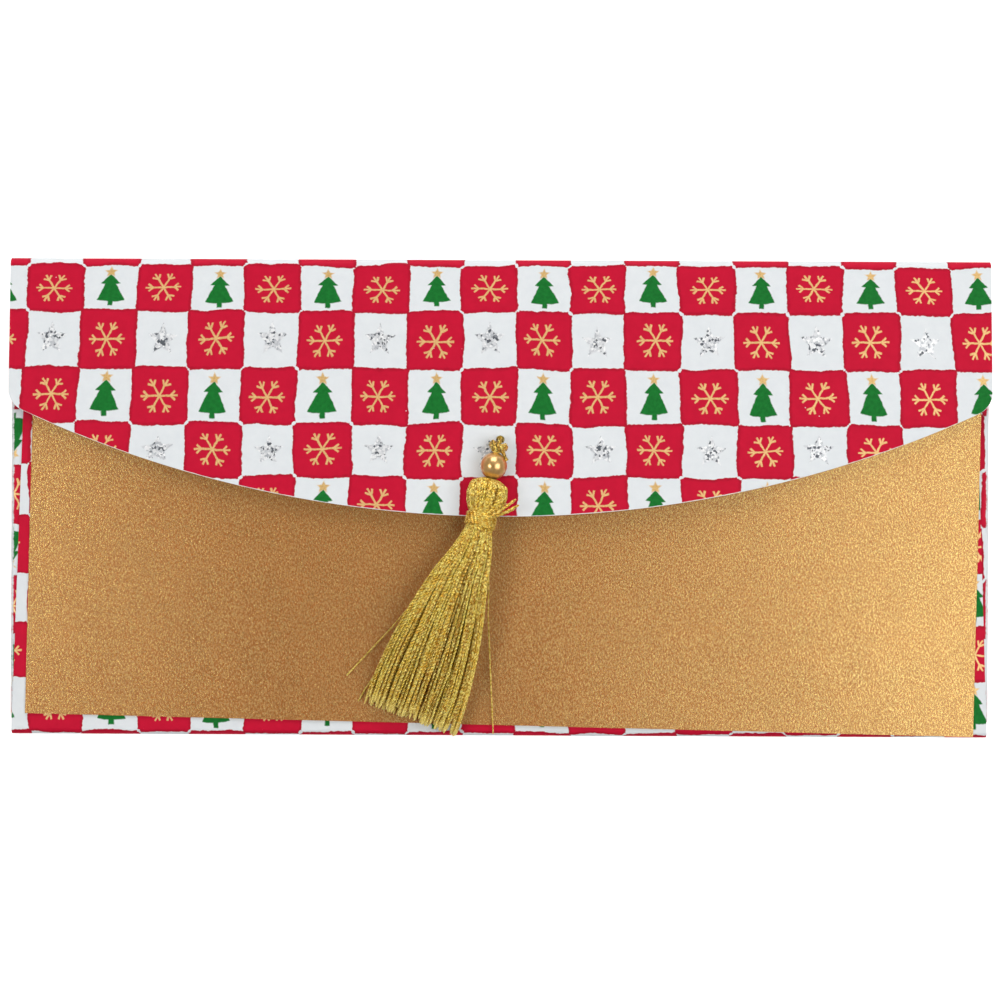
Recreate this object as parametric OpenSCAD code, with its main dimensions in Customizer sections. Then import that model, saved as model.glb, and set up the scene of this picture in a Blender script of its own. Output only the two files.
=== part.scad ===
// Gift envelope: a printed sheet folded into a pocket with a curved flap, a gold paper panel pasted
// on its front, and a bead and tassel that hang by a cord through the flap.
// It lies on its back. X runs along the fold, +Y points to the flap's fold and +Z to the viewer.
// The origin is the middle of the back, on the surface that it lies on. Sizes are in millimetres.

/* [Folded sheet] */
// Width of the closed envelope, along the flap's fold
body_w = 184; // [160:1:220]
// Height of the closed envelope, from its bottom fold to the flap's fold
body_h = 89.5; // [80:0.5:110]
// Thickness of the printed paper
paper_t = 0.35; // [0.25:0.05:0.5]
// Room in the pocket, from the back panel to the side tabs
pocket_gap = 1.2; // [0.8:0.1:3]
// Distance from the flap's fold down to the pocket's mouth
mouth_drop = 16; // [12:1:20]
// How far the front panel draws in on each side, from the bottom to the mouth
front_taper = 2.4; // [0.5:0.1:4]
// Gap between the front panel's lower corners and the envelope's sides
front_inset = 0.4; // [0.2:0.1:1]
// Width of the side tabs that the front panel is pasted to
tab_w = 15; // [12:1:25]
// Slope cut off each end of a side tab
tab_slope = 4; // [2:0.5:6]
// Distance from the bottom fold to the lower end of a side tab
tab_rise = 3; // [2.5:0.5:6]
// Distance from the flap's fold to the upper end of a side tab
tab_drop = 10; // [8:1:12]
// Thickness of a film of dry paste
paste_t = 0.08; // [0.05:0.01:0.15]
// Width of the paste on a side tab
paste_w = 8; // [5:0.5:10]
// Bare border that paste keeps from the edge of what it holds
paste_margin = 2; // [1:0.5:3]

/* [Gold panel] */
// Thickness of the gold paper
gold_t = 0.3; // [0.2:0.05:0.5]
// Printed border left bare on each side of the gold panel
gold_side_margin = 3; // [2.5:0.5:8]
// Printed border left bare below the middle of the gold panel
gold_bottom_margin = 2.1; // [2.1:0.1:6]
// Border between the middle of the gold panel and the mouth
gold_mouth_margin = 3; // [2.5:0.5:8]
// Angle by which the gold panel is pasted out of square
gold_skew = 1.2; // [0:0.1:1.2]

/* [Flap] */
// Length of the flap from its fold to the lowest point of its curved edge
flap_len = 47; // [42:0.5:56]
// Radius of the flap's curved edge
flap_arc_r = 214; // [180:1:260]
// Radius of the flap's two corners
flap_corner_r = 2.5; // [1:0.5:5]
// Outer diameter of the soft crease that the flap turns on
crease_d = 2.8; // [2.6:0.1:4]
// Distance from the crease to the cord hole
hole_from_fold = 32.6; // [28:0.1:34]
// Diameter of the cord hole
hole_d = 1.6; // [1.4:0.1:2.5]

/* [Cord and bead] */
// Diameter of the cord
cord_d = 0.8; // [0.6:0.1:1]
// Diameter of the knot that stops the cord behind the flap
back_knot_d = 3.4; // [3:0.1:5]
// Thickness of the knot behind the flap
back_knot_t = 1.5; // [1:0.1:2]
// Height of the cord's bend above the flap
bend_h = 2.4; // [2.2:0.1:3]
// Diameter of the cord wound into the front knot
knot_thread_d = 0.6; // [0.5:0.05:0.8]
// Distance from turn to turn of the front knot
knot_pitch = 1.05; // [1.05:0.05:1.4]
// Turns in the front knot
knot_turns = 1.5; // [1:0.25:2.5]
// Diameter of the bead
bead_d = 5; // [4:0.1:5]
// Diameter of the hole through the bead
bead_bore_d = 1.3; // [1.2:0.1:1.8]

/* [Tassel] */
// Angle at which the head leans to the left of straight down
tassel_lean = 13; // [0:1:20]
// Length of the head, from the bead to the neck
head_l = 6.4; // [5:0.1:8]
// Width of the head
head_w = 7.7; // [6.6:0.1:9]
// Thickness of the head
head_thick = 5.4; // [5:0.1:5.8]
// Width of the neck under its wrap
neck_w = 5.2; // [4:0.1:6]
// Thickness of the neck under its wrap
neck_thick = 4.2; // [3.4:0.1:4.6]
// Diameter of the thread that binds the neck
wrap_thread_d = 0.4; // [0.3:0.05:0.5]
// Distance from turn to turn of the binding thread
wrap_pitch = 0.9; // [0.9:0.05:1.2]
// Whole turns of the binding thread, which take another half turn to end at the back
wrap_turns = 2; // [1:1:4]
// Reach of the binding's two loose ends beside the neck
tail_reach = 3.1; // [1.5:0.1:4]
// Rise of the binding's loose ends towards the bead
tail_rise = 4.2; // [2:0.1:5]
// Length of the skirt, from the neck to the cut ends
skirt_l = 36.2; // [30:0.2:38]
// Width of the skirt at the cut ends
skirt_end_w = 18.8; // [12:0.2:22]
// Thickness of the skirt at the cut ends
skirt_end_t = 3; // [2:0.1:4]
// Angle by which the skirt turns further left than the head
skirt_turn = 7; // [0:1:12]
// Yarns that show around the skirt
yarns = 36; // [24:2:44]
// Depth of the furrow between two yarns
furrow = 0.35; // [0.1:0.05:0.5]
// How far the cut ends differ in length
ragged = 0.7; // [0:0.1:1.2]

/* [Clearances] */
// Gap between the tassel's pieces in a row, and round what a thread winds on
seat_gap = 0.1; // [0.05:0.05:0.15]
// Gap that lets the tassel swing over the flap and the gold panel
swing_gap = 0.3; // [0.2:0.05:0.5]

/* [Hidden] */
$fn = 64;

// Heights of the layers, from the back panel up to the gold panel
tab_z = paper_t + pocket_gap;
front_z = tab_z + paper_t + paste_t;
gold_z = front_z + paper_t + paste_t;
gold_top = gold_z + gold_t;

// Outer radii of the folds, each as high as the two layers that it joins
side_fold_r = (tab_z + paper_t) / 2;
bottom_fold_r = (front_z + paper_t) / 2;
crease_r = crease_d / 2;

// Where the flat panels end and the folds begin
side_x = body_w / 2 - side_fold_r;
bottom_y = -body_h / 2 + bottom_fold_r;
hinge_y = body_h / 2 - crease_r;
mouth_y = body_h / 2 - mouth_drop;
tab_bottom = -body_h / 2 + tab_rise;
tab_top = body_h / 2 - tab_drop;
front_half = body_w / 2 - front_inset;
mouth_half = front_half - front_taper;

// The gold panel, set by its borders
gold_bottom = -body_h / 2 + gold_bottom_margin;
gold_w = body_w - 2 * gold_side_margin;
gold_h = mouth_y - gold_mouth_margin - gold_bottom;

// The flap rests on the knot behind it, so that knot sets the angle that the flap stands at
knot_room = back_knot_t + 2 * seat_gap;
flap_lift = atan((gold_top + knot_room - crease_d + paper_t) / hole_from_fold);

// Stations along the tassel, measured from the cord hole
knot_start = cord_d / 2 + seat_gap;
knot_len = knot_turns * knot_pitch + knot_thread_d;
bead_at = knot_start + knot_len + seat_gap + bead_d / 2;
head_start = bead_at + bead_d / 2 + seat_gap;
neck_start = head_start + head_l;
wrap_len = (wrap_turns + 0.5) * wrap_pitch + wrap_thread_d;
skirt_start = neck_start + wrap_len + 2 * seat_gap;

// The axis of cord, bead and head rises from the cord's bend to clear the flap under the head
head_half = head_thick / 2;
axis_rise = atan((head_half + swing_gap - bend_h) / (head_start + head_l / 2));
droop = knot_room + paper_t + bend_h - swing_gap - skirt_end_t / 2
        + (skirt_start + skirt_l) * (tan(axis_rise) + sin(flap_lift));

// Rings and sides of the lofts and the wound tubes
head_rings = 10;
skirt_rings = 14;
lobe_points = 3;
tube_sides = 6;
turn_rings = 24;

PAPER = [0.91, 0.92, 0.93];
RED = [0.82, 0.1, 0.22];
GOLD = [0.75, 0.57, 0.34];
PASTE = [0.93, 0.9, 0.8];
YARN = [0.8, 0.67, 0.25];
CORD = [0.6, 0.45, 0.1];

// A bend of paper about the origin, seen along its fold, from straight below to the given angle
module fold_profile(outer_r, end_angle) {
    reach = 3 * outer_r;
    difference() {
        circle(outer_r);
        circle(outer_r - paper_t);
        polygon([[0, 0], reach * [cos(end_angle), sin(end_angle)],
                 [-reach, reach], [-reach, -reach], [0, -reach]]);
    }
}

// A fold along X whose bend faces +Y, from -length / 2 to length / 2
module fold_along_x(outer_r, end_angle, length) {
    translate([-length / 2, 0, 0])
        rotate([90, 0, 90])
            linear_extrude(length) fold_profile(outer_r, end_angle);
}

// The half round fold at the right side, where a tab turns over from the back panel
module side_fold() {
    translate([side_x, tab_top, side_fold_r])
        rotate([90, 0, 0])
            linear_extrude(tab_top - tab_bottom) fold_profile(side_fold_r, 90);
}

// The right tab, with its two ends cut at a slope
module glue_tab() {
    translate([0, 0, tab_z])
        linear_extrude(paper_t)
            polygon([[side_x, tab_bottom], [side_x, tab_top],
                     [side_x - tab_w, tab_top - tab_slope],
                     [side_x - tab_w, tab_bottom + tab_slope]]);
}

// The paste between the right tab and the front panel
module tab_paste() {
    low = tab_bottom + tab_slope + paste_margin;
    high = min(mouth_y, tab_top - tab_slope) - paste_margin;
    translate([mouth_half - paste_margin - paste_w, low, tab_z + paper_t])
        cube([paste_w, high - low, paste_t]);
}

// The gold panel's rectangle, drawn in by a border on every side
module gold_outline(border) {
    translate([0, gold_bottom])
        rotate(-gold_skew)
            translate([border - gold_w / 2, border])
                square([gold_w - 2 * border, gold_h - 2 * border]);
}

module back_panel() {
    color(RED) linear_extrude(paper_t) {
        translate([-side_x, bottom_y]) square([2 * side_x, hinge_y - bottom_y]);
        translate([-body_w / 2, tab_top]) square([body_w, hinge_y - tab_top]);
        translate([-front_half, bottom_y]) square([2 * front_half, tab_bottom - bottom_y]);
    }
}

module bottom_fold() {
    color(RED)
        translate([0, bottom_y, bottom_fold_r])
            mirror([0, 1, 0]) fold_along_x(bottom_fold_r, 90, 2 * front_half);
}

module front_panel() {
    color(RED)
        translate([0, 0, front_z])
            linear_extrude(paper_t)
                polygon([[-front_half, bottom_y], [front_half, bottom_y],
                         [mouth_half, mouth_y], [-mouth_half, mouth_y]]);
}

module left_side_fold() { color(RED) mirror([1, 0, 0]) side_fold(); }
module right_side_fold() { color(RED) side_fold(); }
module left_glue_tab() { color(PAPER) mirror([1, 0, 0]) glue_tab(); }
module right_glue_tab() { color(PAPER) glue_tab(); }
module left_tab_paste() { color(PASTE) mirror([1, 0, 0]) tab_paste(); }
module right_tab_paste() { color(PASTE) tab_paste(); }

module gold_panel_paste() {
    color(PASTE) translate([0, 0, front_z + paper_t]) linear_extrude(paste_t) gold_outline(paste_margin);
}

module gold_panel() {
    color(GOLD) translate([0, 0, gold_z]) linear_extrude(gold_t) gold_outline(0);
}

// Everything on the flap: Y is 0 at the crease and falls towards the flap's edge, Z is square to it
module in_flap_frame() {
    translate([0, hinge_y, crease_r]) rotate([-flap_lift, 0, 0]) children();
}

// What is cut away outside the round of the flap's right corner
module corner_cut() {
    arc_y = flap_arc_r - flap_len;
    centre_x = body_w / 2 - flap_corner_r;
    drop = sqrt(pow(flap_arc_r - flap_corner_r, 2) - pow(centre_x, 2));
    centre = [centre_x, arc_y - drop];
    outward = [centre_x, -drop] / (flap_arc_r - flap_corner_r);
    reach = 3 * flap_corner_r;
    difference() {
        polygon([centre, centre + [reach, 0], centre + [reach, -reach], centre + reach * outward]);
        translate(centre) circle(flap_corner_r);
    }
}

module flap_outline() {
    difference() {
        intersection() {
            translate([-body_w / 2, -flap_len]) square([body_w, flap_len]);
            translate([0, flap_arc_r - flap_len]) circle(flap_arc_r, $fn = 256);
        }
        corner_cut();
        mirror([1, 0]) corner_cut();
        translate([0, -hole_from_fold]) circle(d = hole_d);
    }
}

// The crease bends from the back panel to the flap, which it meets at the angle that the flap rests at
module flap_crease() {
    color(RED)
        translate([0, hinge_y, crease_r])
            fold_along_x(crease_r, 90 - flap_lift, body_w);
}

module flap() {
    color(RED)
        in_flap_frame()
            translate([0, 0, crease_r - paper_t]) linear_extrude(paper_t) flap_outline();
}

// At the cord hole, with Z 0 on the flap's outer face
module at_hole() {
    in_flap_frame() translate([0, -hole_from_fold, crease_r]) children();
}

// At the cord's bend, with -Y along the tassel's axis
module along_tassel() {
    at_hole()
        rotate([0, 0, -tassel_lean])
            translate([0, 0, bend_h])
                rotate([-axis_rise, 0, 0]) children();
}

// A flattened round knot, bored for the cord
module back_knot() {
    bore_r = cord_d / 2 + seat_gap;
    round_r = back_knot_t / 2;
    color(CORD)
        at_hole()
            translate([0, 0, -paper_t - seat_gap - round_r])
                rotate_extrude() {
                    translate([back_knot_d / 2 - round_r, 0]) circle(round_r);
                    translate([bore_r, -round_r])
                        square([back_knot_d / 2 - round_r - bore_r, back_knot_t]);
                }
}

// The cord from the knot behind the flap, through the hole and up to its bend
module hanging_cord() {
    low = -paper_t - seat_gap - back_knot_t;
    color(CORD)
        at_hole() {
            translate([0, 0, low]) cylinder(d = cord_d, h = bend_h - low);
            translate([0, 0, bend_h]) sphere(d = cord_d);
        }
}

// The cord from its bend, through the front knot and the bead, to the head
module tassel_cord() {
    color(CORD)
        along_tassel()
            translate([0, -knot_start, 0])
                rotate([90, 0, 0]) cylinder(d = cord_d, h = head_start - knot_start);
}

module bead() {
    color(GOLD)
        along_tassel()
            translate([0, -bead_at, 0])
                difference() {
                    sphere(d = bead_d);
                    rotate([90, 0, 0]) cylinder(d = bead_bore_d, h = 2 * bead_d, center = true);
                }
}

// A closed skin over rings of points, which go from +X over +Z as the rings go along -Y
module loft(rings) {
    n = len(rings[0]);
    last = len(rings) - 1;
    ends = [for (i = [0, last]) [for (p = rings[i]) 1] * rings[i] / n];
    points = concat([for (r = rings) each r], ends);
    start_cap = len(points) - 2;
    end_cap = len(points) - 1;
    faces = concat(
        [for (i = [0 : last - 1], k = [0 : n - 1])
            [i * n + k, (i + 1) * n + k, (i + 1) * n + (k + 1) % n]],
        [for (i = [0 : last - 1], k = [0 : n - 1])
            [i * n + k, (i + 1) * n + (k + 1) % n, i * n + (k + 1) % n]],
        [for (k = [0 : n - 1]) [start_cap, k, (k + 1) % n]],
        [for (k = [0 : n - 1]) [end_cap, last * n + (k + 1) % n, last * n + k]]);
    polyhedron(points, faces);
}

// A flattened ring of yarns: half its width, half its thickness, its furrows, and how blunt its sides are
function yarn_ring(half_w, half_t, blunt = 1) =
    let (n = yarns * lobe_points)
    [for (k = [0 : n - 1])
        let (a = 360 * k / n, f = k % lobe_points == 0 ? 0 : furrow)
        [(half_w - f) * cos(a), 0, (half_t - f) * sign(sin(a)) * pow(abs(sin(a)), blunt)]];

// The bundle folded over its cord, swelling between the bead and the neck
module tassel_head() {
    rings = [for (i = [0 : head_rings])
                let (t = i / head_rings, swell = pow(sin(180 * t), 0.8))
                [for (p = yarn_ring(neck_w / 2 + (head_w - neck_w) / 2 * swell,
                                    neck_thick / 2 + (head_thick - neck_thick) / 2 * swell))
                    p - [0, head_start + head_l * t, 0]]];
    neck_end = [for (p = yarn_ring(neck_w / 2, neck_thick / 2)) p - [0, skirt_start, 0]];
    color(YARN) along_tassel() loft(concat(rings, [neck_end]));
}

// The loose yarns, spreading and drooping from the neck to their cut ends
module tassel_skirt() {
    rings = [for (i = [0 : skirt_rings])
                let (t = i / skirt_rings, cut = i == skirt_rings ? ragged : 0,
                     ring = yarn_ring(neck_w / 2 + (skirt_end_w - neck_w) / 2 * sin(90 * t),
                                      neck_thick / 2 + (skirt_end_t - neck_thick) / 2 * t,
                                      1 - 0.4 * t),
                     turn = skirt_turn * min(1, 4 * t))
                [for (k = [0 : len(ring) - 1])
                    let (p = ring[k], along = skirt_start + skirt_l * t - cut * pow(sin(97 * k), 2))
                    [p.x * cos(turn) - skirt_l * t * sin(turn),
                     -along - p.x * sin(turn),
                     p.z - droop * t * t]]];
    color(YARN) along_tassel() loft(rings);
}

// A tube along a path that mostly goes round the tassel's axis
module wound_tube(path, d) {
    last = len(path) - 1;
    axis = [0, -1, 0];
    rings = [for (i = [0 : last])
                let (step = path[min(i + 1, last)] - path[max(i - 1, 0)],
                     t = step / norm(step),
                     side = axis - (axis * t) * t,
                     u = side / norm(side),
                     v = cross(t, u))
                [for (k = [0 : tube_sides - 1])
                    path[i] + d / 2 * (cos(360 * k / tube_sides) * u + sin(360 * k / tube_sides) * v)]];
    loft(rings);
}

// Least gap between a wound tube's turns, measured from point to point
function turn_gap(path, d) =
    min([for (i = [0 : len(path) - 1], j = [i + turn_rings / 2 : 1 : len(path) - 1])
            norm(path[i] - path[j])]) - d;

// Turns round an oval from its top, first to -X
function winding(half_w, half_t, start, turns, pitch) =
    [for (i = [0 : turns * turn_rings])
        let (a = 90 + 360 * i / turn_rings)
        [half_w * cos(a), -start - pitch * i / turn_rings, half_t * sin(a)]];

// The front knot: the cord's end wound round the cord between the hole and the bead
module front_knot() {
    r = cord_d / 2 + seat_gap + knot_thread_d / 2;
    path = winding(r, r, knot_start + knot_thread_d / 2, knot_turns, knot_pitch);
    echo(front_knot_least_gap = turn_gap(path, knot_thread_d));
    color(CORD) along_tassel() wound_tube(path, knot_thread_d);
}

// The thread that binds the neck, with its two ends loose on the right
module neck_wrap() {
    half_w = neck_w / 2 + seat_gap + wrap_thread_d / 2;
    half_t = neck_thick / 2 + seat_gap + wrap_thread_d / 2;
    start = neck_start + seat_gap + wrap_thread_d / 2;
    turns = winding(half_w, half_t, start, wrap_turns + 0.5, wrap_pitch);
    first = turns[0];
    last = turns[len(turns) - 1];
    front_end = [for (t = [1, 0.75, 0.5, 0.25])
                    first + [(half_w + tail_reach) * t, tail_rise * t * t, 0]];
    back_end = [for (t = [0.25, 0.5, 0.75, 1])
                    last + [(half_w + tail_reach) * t, tail_rise * t * t, half_t * t / 2]];
    path = concat(front_end, turns, back_end);
    echo(neck_wrap_least_gap = turn_gap(turns, wrap_thread_d));
    color(YARN) along_tassel() wound_tube(path, wrap_thread_d);
}

back_panel();
bottom_fold();
front_panel();
left_side_fold();
right_side_fold();
left_glue_tab();
right_glue_tab();
left_tab_paste();
right_tab_paste();
gold_panel_paste();
gold_panel();
flap_crease();
flap();
back_knot();
hanging_cord();
tassel_cord();
front_knot();
bead();
tassel_head();
neck_wrap();
tassel_skirt();
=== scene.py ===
# %% [markdown]
# # A gift envelope in paper, gold and yarn
# The measured CAD gives the envelope its frame, its pieces and its joints. This lesson dresses it: each
# paper panel becomes a thin printed sheet, and the tassel becomes real yarn. A print could be made from
# an image, but here it is a formula, so it stays sharp at any distance.

import bpy
import numpy as np
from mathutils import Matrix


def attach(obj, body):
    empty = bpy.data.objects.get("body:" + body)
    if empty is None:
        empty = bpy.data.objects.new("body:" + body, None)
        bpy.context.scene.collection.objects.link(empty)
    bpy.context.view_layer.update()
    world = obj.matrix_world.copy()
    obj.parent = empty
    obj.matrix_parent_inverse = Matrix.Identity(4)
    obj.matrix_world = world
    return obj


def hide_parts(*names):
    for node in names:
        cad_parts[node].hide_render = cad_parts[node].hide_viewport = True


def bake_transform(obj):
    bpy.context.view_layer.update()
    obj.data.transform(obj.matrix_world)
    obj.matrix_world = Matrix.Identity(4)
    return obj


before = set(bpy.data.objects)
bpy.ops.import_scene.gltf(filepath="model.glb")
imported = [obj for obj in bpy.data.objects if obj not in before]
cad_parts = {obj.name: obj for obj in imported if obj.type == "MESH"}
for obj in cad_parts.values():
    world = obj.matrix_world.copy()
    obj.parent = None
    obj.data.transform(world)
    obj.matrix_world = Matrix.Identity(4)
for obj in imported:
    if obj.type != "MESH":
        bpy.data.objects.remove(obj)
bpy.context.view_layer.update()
rng = np.random.default_rng(11)

# %% [markdown]
# ## Sizes of the sheet
# All sizes are in millimetres and are those of the CAD, so that each sheet lies where its solid lay. They
# could be measured from the CAD's meshes, but written out they also place the print over the folds. A
# fold is half a cylinder, so it has the place of its axis and the radius of its outer face.

# %% Sizes of the sheet in millimetres
MM = 0.001
PAPER = 0.35
HALF_W = 92.0
SIDE_X, SIDE_R = 91.05, 0.95
BOTTOM_Y, BOTTOM_R = -43.585, 1.165
HINGE_Y, CREASE_R = 43.35, 1.4
LIFT = np.radians(3.4406)
CREASE_LEN = CREASE_R * (np.pi - LIFT)
print("paper round the flap's crease in mm:", round(CREASE_LEN, 3))


# %% [markdown]
# ## A piece from arrays
# Every new piece is a mesh that replaces its CAD solid and moves with the same body. Its faces could be
# added one by one, but whole arrays are quicker and keep each formula in one place.

# %% Piece maker
def make_piece(name, points, polygons, smooth, material, node_names, body):
    """Object from points in mm and groups of polygons, each group an array with one polygon in a row."""
    mesh = bpy.data.meshes.new(name)
    corners = np.concatenate([p.ravel() for p in polygons])
    totals = np.concatenate([np.full(len(p), p.shape[1]) for p in polygons])
    starts = np.concatenate([[0], np.cumsum(totals)[:-1]])
    mesh.vertices.add(len(points))
    mesh.vertices.foreach_set("co", (points * MM).astype(np.float32).ravel())
    mesh.loops.add(len(corners))
    mesh.loops.foreach_set("vertex_index", corners.astype(np.int32))
    mesh.polygons.add(len(totals))
    mesh.polygons.foreach_set("loop_start", starts.astype(np.int32))
    mesh.polygons.foreach_set("use_smooth", smooth)
    mesh.update(calc_edges=True)
    mesh.validate()
    mesh.set_sharp_from_angle(angle=np.radians(50))
    mesh.materials.append(material)
    piece = bpy.data.objects.new(name, mesh)
    bpy.context.scene.collection.objects.link(piece)
    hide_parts(*node_names)
    if body:
        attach(piece, body)
    print(name, len(points), "points,", len(totals), "faces")
    return piece


def add_attribute(piece, name, domain, values):
    """Float attribute on points or faces, which a material reads by its name."""
    layer = piece.data.attributes.new(name, "FLOAT", domain)
    layer.data.foreach_set("value", np.asarray(values, np.float32).ravel())


def grid(x, y, z):
    """Grid of points from three arrays that broadcast together."""
    return np.stack(np.broadcast_arrays(x, y, z), axis=-1).astype(float)


# %% [markdown]
# ## Paper sheets
# A sheet is a grid of points for its printed face, a second grid one paper thickness behind it, and a
# wall along every free edge, so it is closed. A face attribute tells the printed face from the bare
# paper. Solidify could add the thickness, but this way the print's coordinates are set for each point of
# the grid.

# %% Sheet maker
def free_edges(quads, count):
    """Directed edges that only one quad has: an edge is free if no quad runs along it the other way."""
    a = quads.ravel()
    b = np.roll(quads, -1, axis=1).ravel()
    shared = np.isin(a * count + b, b * count + a)
    return a[~shared], b[~shared]


def paper_piece(
    name, outer, prints, facing, material, nodes, body,
    slot="printed_paper", thick=PAPER, keep=None, worn=0.0,
):
    """Closed sheet behind a grid of points: the inner face is the outer one moved back along its normal.
    keep tells which quads stay, and worn how much of the print has rubbed off at each point of the grid."""
    normal = np.cross(np.gradient(outer, axis=0), np.gradient(outer, axis=1))
    normal /= np.linalg.norm(normal, axis=2, keepdims=True)
    rows, cols = outer.shape[:2]
    worn = np.broadcast_to(worn, (rows, cols))
    if normal[rows // 2, cols // 4] @ np.array(facing) < 0:
        outer, prints, normal, worn = outer[::-1], prints[::-1], -normal[::-1], worn[::-1]
        keep = None if keep is None else keep[::-1]
    inner = outer - thick * normal
    count = rows * cols
    index = np.arange(count).reshape(rows, cols)
    quads = np.stack([index[:-1, :-1], index[1:, :-1], index[1:, 1:], index[:-1, 1:]], axis=2)
    quads = quads.reshape(-1, 4) if keep is None else quads[keep]
    a, b = free_edges(quads, count)
    wall = np.stack([b, a, a + count, b + count], axis=1)
    faces = np.concatenate([quads, quads[:, ::-1] + count, wall])
    points = np.concatenate([outer.reshape(-1, 3), inner.reshape(-1, 3)])
    used, new = np.unique(faces, return_inverse=True)
    smooth = np.arange(len(faces)) < 2 * len(quads)
    piece = make_piece(name, points[used], [new.reshape(-1, 4)], smooth, material, nodes, body)
    add_attribute(piece, "bare", "FACE", np.arange(len(faces)) >= len(quads))
    add_attribute(piece, "worn", "POINT", np.concatenate([worn.ravel()] * 2)[used])
    layer = piece.data.uv_layers.new(name="print")
    places = np.concatenate([prints.reshape(-1, 2)] * 2)[used]
    layer.data.foreach_set("uv", places[new.ravel()].astype(np.float32).ravel())
    return piece


# %% [markdown]
# ## Yarns and cords
# A two-ply yarn is a little oval across, and the oval turns along its length as the plies wind round each
# other. A bevelled curve could make one, but here hundreds are made in one call, each with a map of its
# own twist.

# %% Yarn maker
def tubes(paths, radius, sides, aside, ply=0.0, pitch=1.6):
    """Points, polygons and twist map of many tubes: a ring of sides points round each path, swollen twice
    round by ply, and turned once for each pitch of length. The rings start from the direction aside."""
    n, m = paths.shape[:2]
    ahead = np.gradient(paths, axis=1)
    ahead /= np.linalg.norm(ahead, axis=2, keepdims=True)
    side = np.asarray(aside) - (ahead @ np.asarray(aside))[..., None] * ahead
    side /= np.linalg.norm(side, axis=2, keepdims=True)
    other = np.cross(ahead, side)
    steps = np.linalg.norm(np.diff(paths, axis=1), axis=2)
    length = np.concatenate([np.zeros((n, 1)), np.cumsum(steps, axis=1)], axis=1)
    angle = 2 * np.pi * np.arange(sides) / sides
    length = length + rng.random((n, 1)) * pitch
    wave = np.cos(2 * angle - (2 * np.pi * length / pitch)[..., None])
    r = np.broadcast_to(radius, (n, m))[..., None] * (1 + ply * wave)
    ring = np.cos(angle)[:, None] * side[:, :, None] + np.sin(angle)[:, None] * other[:, :, None]
    points = paths[:, :, None] + r[..., None] * ring
    index = np.arange(n * m * sides).reshape(n, m, sides)
    turned = np.roll(index, -1, axis=2)
    quads = np.stack([index[:, :-1], turned[:, :-1], turned[:, 1:], index[:, 1:]], axis=3).reshape(-1, 4)
    caps = np.concatenate([index[:, 0, ::-1], index[:, -1]])
    corner = np.array([[0, 0], [0, 1], [1, 1], [1, 0]])
    turns = (np.arange(sides)[:, None] + corner[:, 1]) / sides
    lengths = np.stack([length[:, :-1], length[:, 1:]], axis=2)[:, :, corner[:, 0]]
    twist = np.stack(np.broadcast_arrays(turns[None, None], lengths[:, :, None]), axis=4).reshape(-1, 2)
    twist = np.concatenate([twist, np.zeros((caps.size, 2))])
    return points.reshape(-1, 3), [quads, caps], twist


# %% [markdown]
# ## Fields for the materials
# A material here is a formula of the print's coordinates or of the object's own coordinates. Its math
# nodes could be placed one by one, but a small class writes them from ordinary arithmetic, so a pattern
# reads as its formula does.

# %% Shader arithmetic
def feed(tree, socket, value):
    """Link a field or an output to a socket, or set the socket's own value if it is a constant."""
    if isinstance(value, Field):
        tree.links.new(value.socket, socket)
    elif hasattr(value, "is_output"):
        tree.links.new(value, socket)
    else:
        socket.default_value = value


class Field:
    """A shader value that arithmetic can be done with. Each operation adds one math node."""

    def __init__(self, tree, socket):
        self.tree = tree
        self.socket = socket

    def op(self, name, *others):
        """The math node of that name, with this value first."""
        node = self.tree.nodes.new("ShaderNodeMath")
        node.operation = name
        for place, value in enumerate((self, *others)):
            feed(self.tree, node.inputs[place], value)
        return Field(self.tree, node.outputs[0])

    def __add__(self, o):
        return self.op("ADD", o)

    def __sub__(self, o):
        return self.op("SUBTRACT", o)

    def __mul__(self, o):
        return self.op("MULTIPLY", o)

    def __neg__(self):
        return self.op("MULTIPLY", -1.0)

    def __abs__(self):
        return self.op("ABSOLUTE")

    def __invert__(self):
        """1 minus the value."""
        return self.op("MULTIPLY_ADD", -1.0, 1.0)

    def ramp(self, limit, soft, under, over):
        """One value under the limit and another over it, with a soft edge between them."""
        node = self.tree.nodes.new("ShaderNodeMapRange")
        node.interpolation_type = "SMOOTHSTEP"
        feed(self.tree, node.inputs["Value"], self)
        node.inputs["From Min"].default_value = limit - soft
        node.inputs["From Max"].default_value = limit + soft
        node.inputs["To Min"].default_value = under
        node.inputs["To Max"].default_value = over
        return Field(self.tree, node.outputs[0])

    def below(self, limit, soft):
        """1 where the value is under the limit and 0 over it, with a soft edge."""
        return self.ramp(limit, soft, 1.0, 0.0)

    def above(self, limit, soft):
        """1 where the value is over the limit and 0 under it, with a soft edge."""
        return self.ramp(limit, soft, 0.0, 1.0)


# %% [markdown]
# ## Paints
# A paint is one material and the few kinds of node that the finishes of this envelope need. Each could be
# set up in the shader editor, but the same few lines serve for all of them.

# %% Paints
def linear(r, g, b):
    """A colour of 0 to 255 per channel as the linear light that a shader takes."""
    c = np.array([r, g, b]) / 255
    return (*np.where(c < 0.04045, c / 12.92, ((c + 0.055) / 1.055) ** 2.4).tolist(), 1.0)


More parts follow.
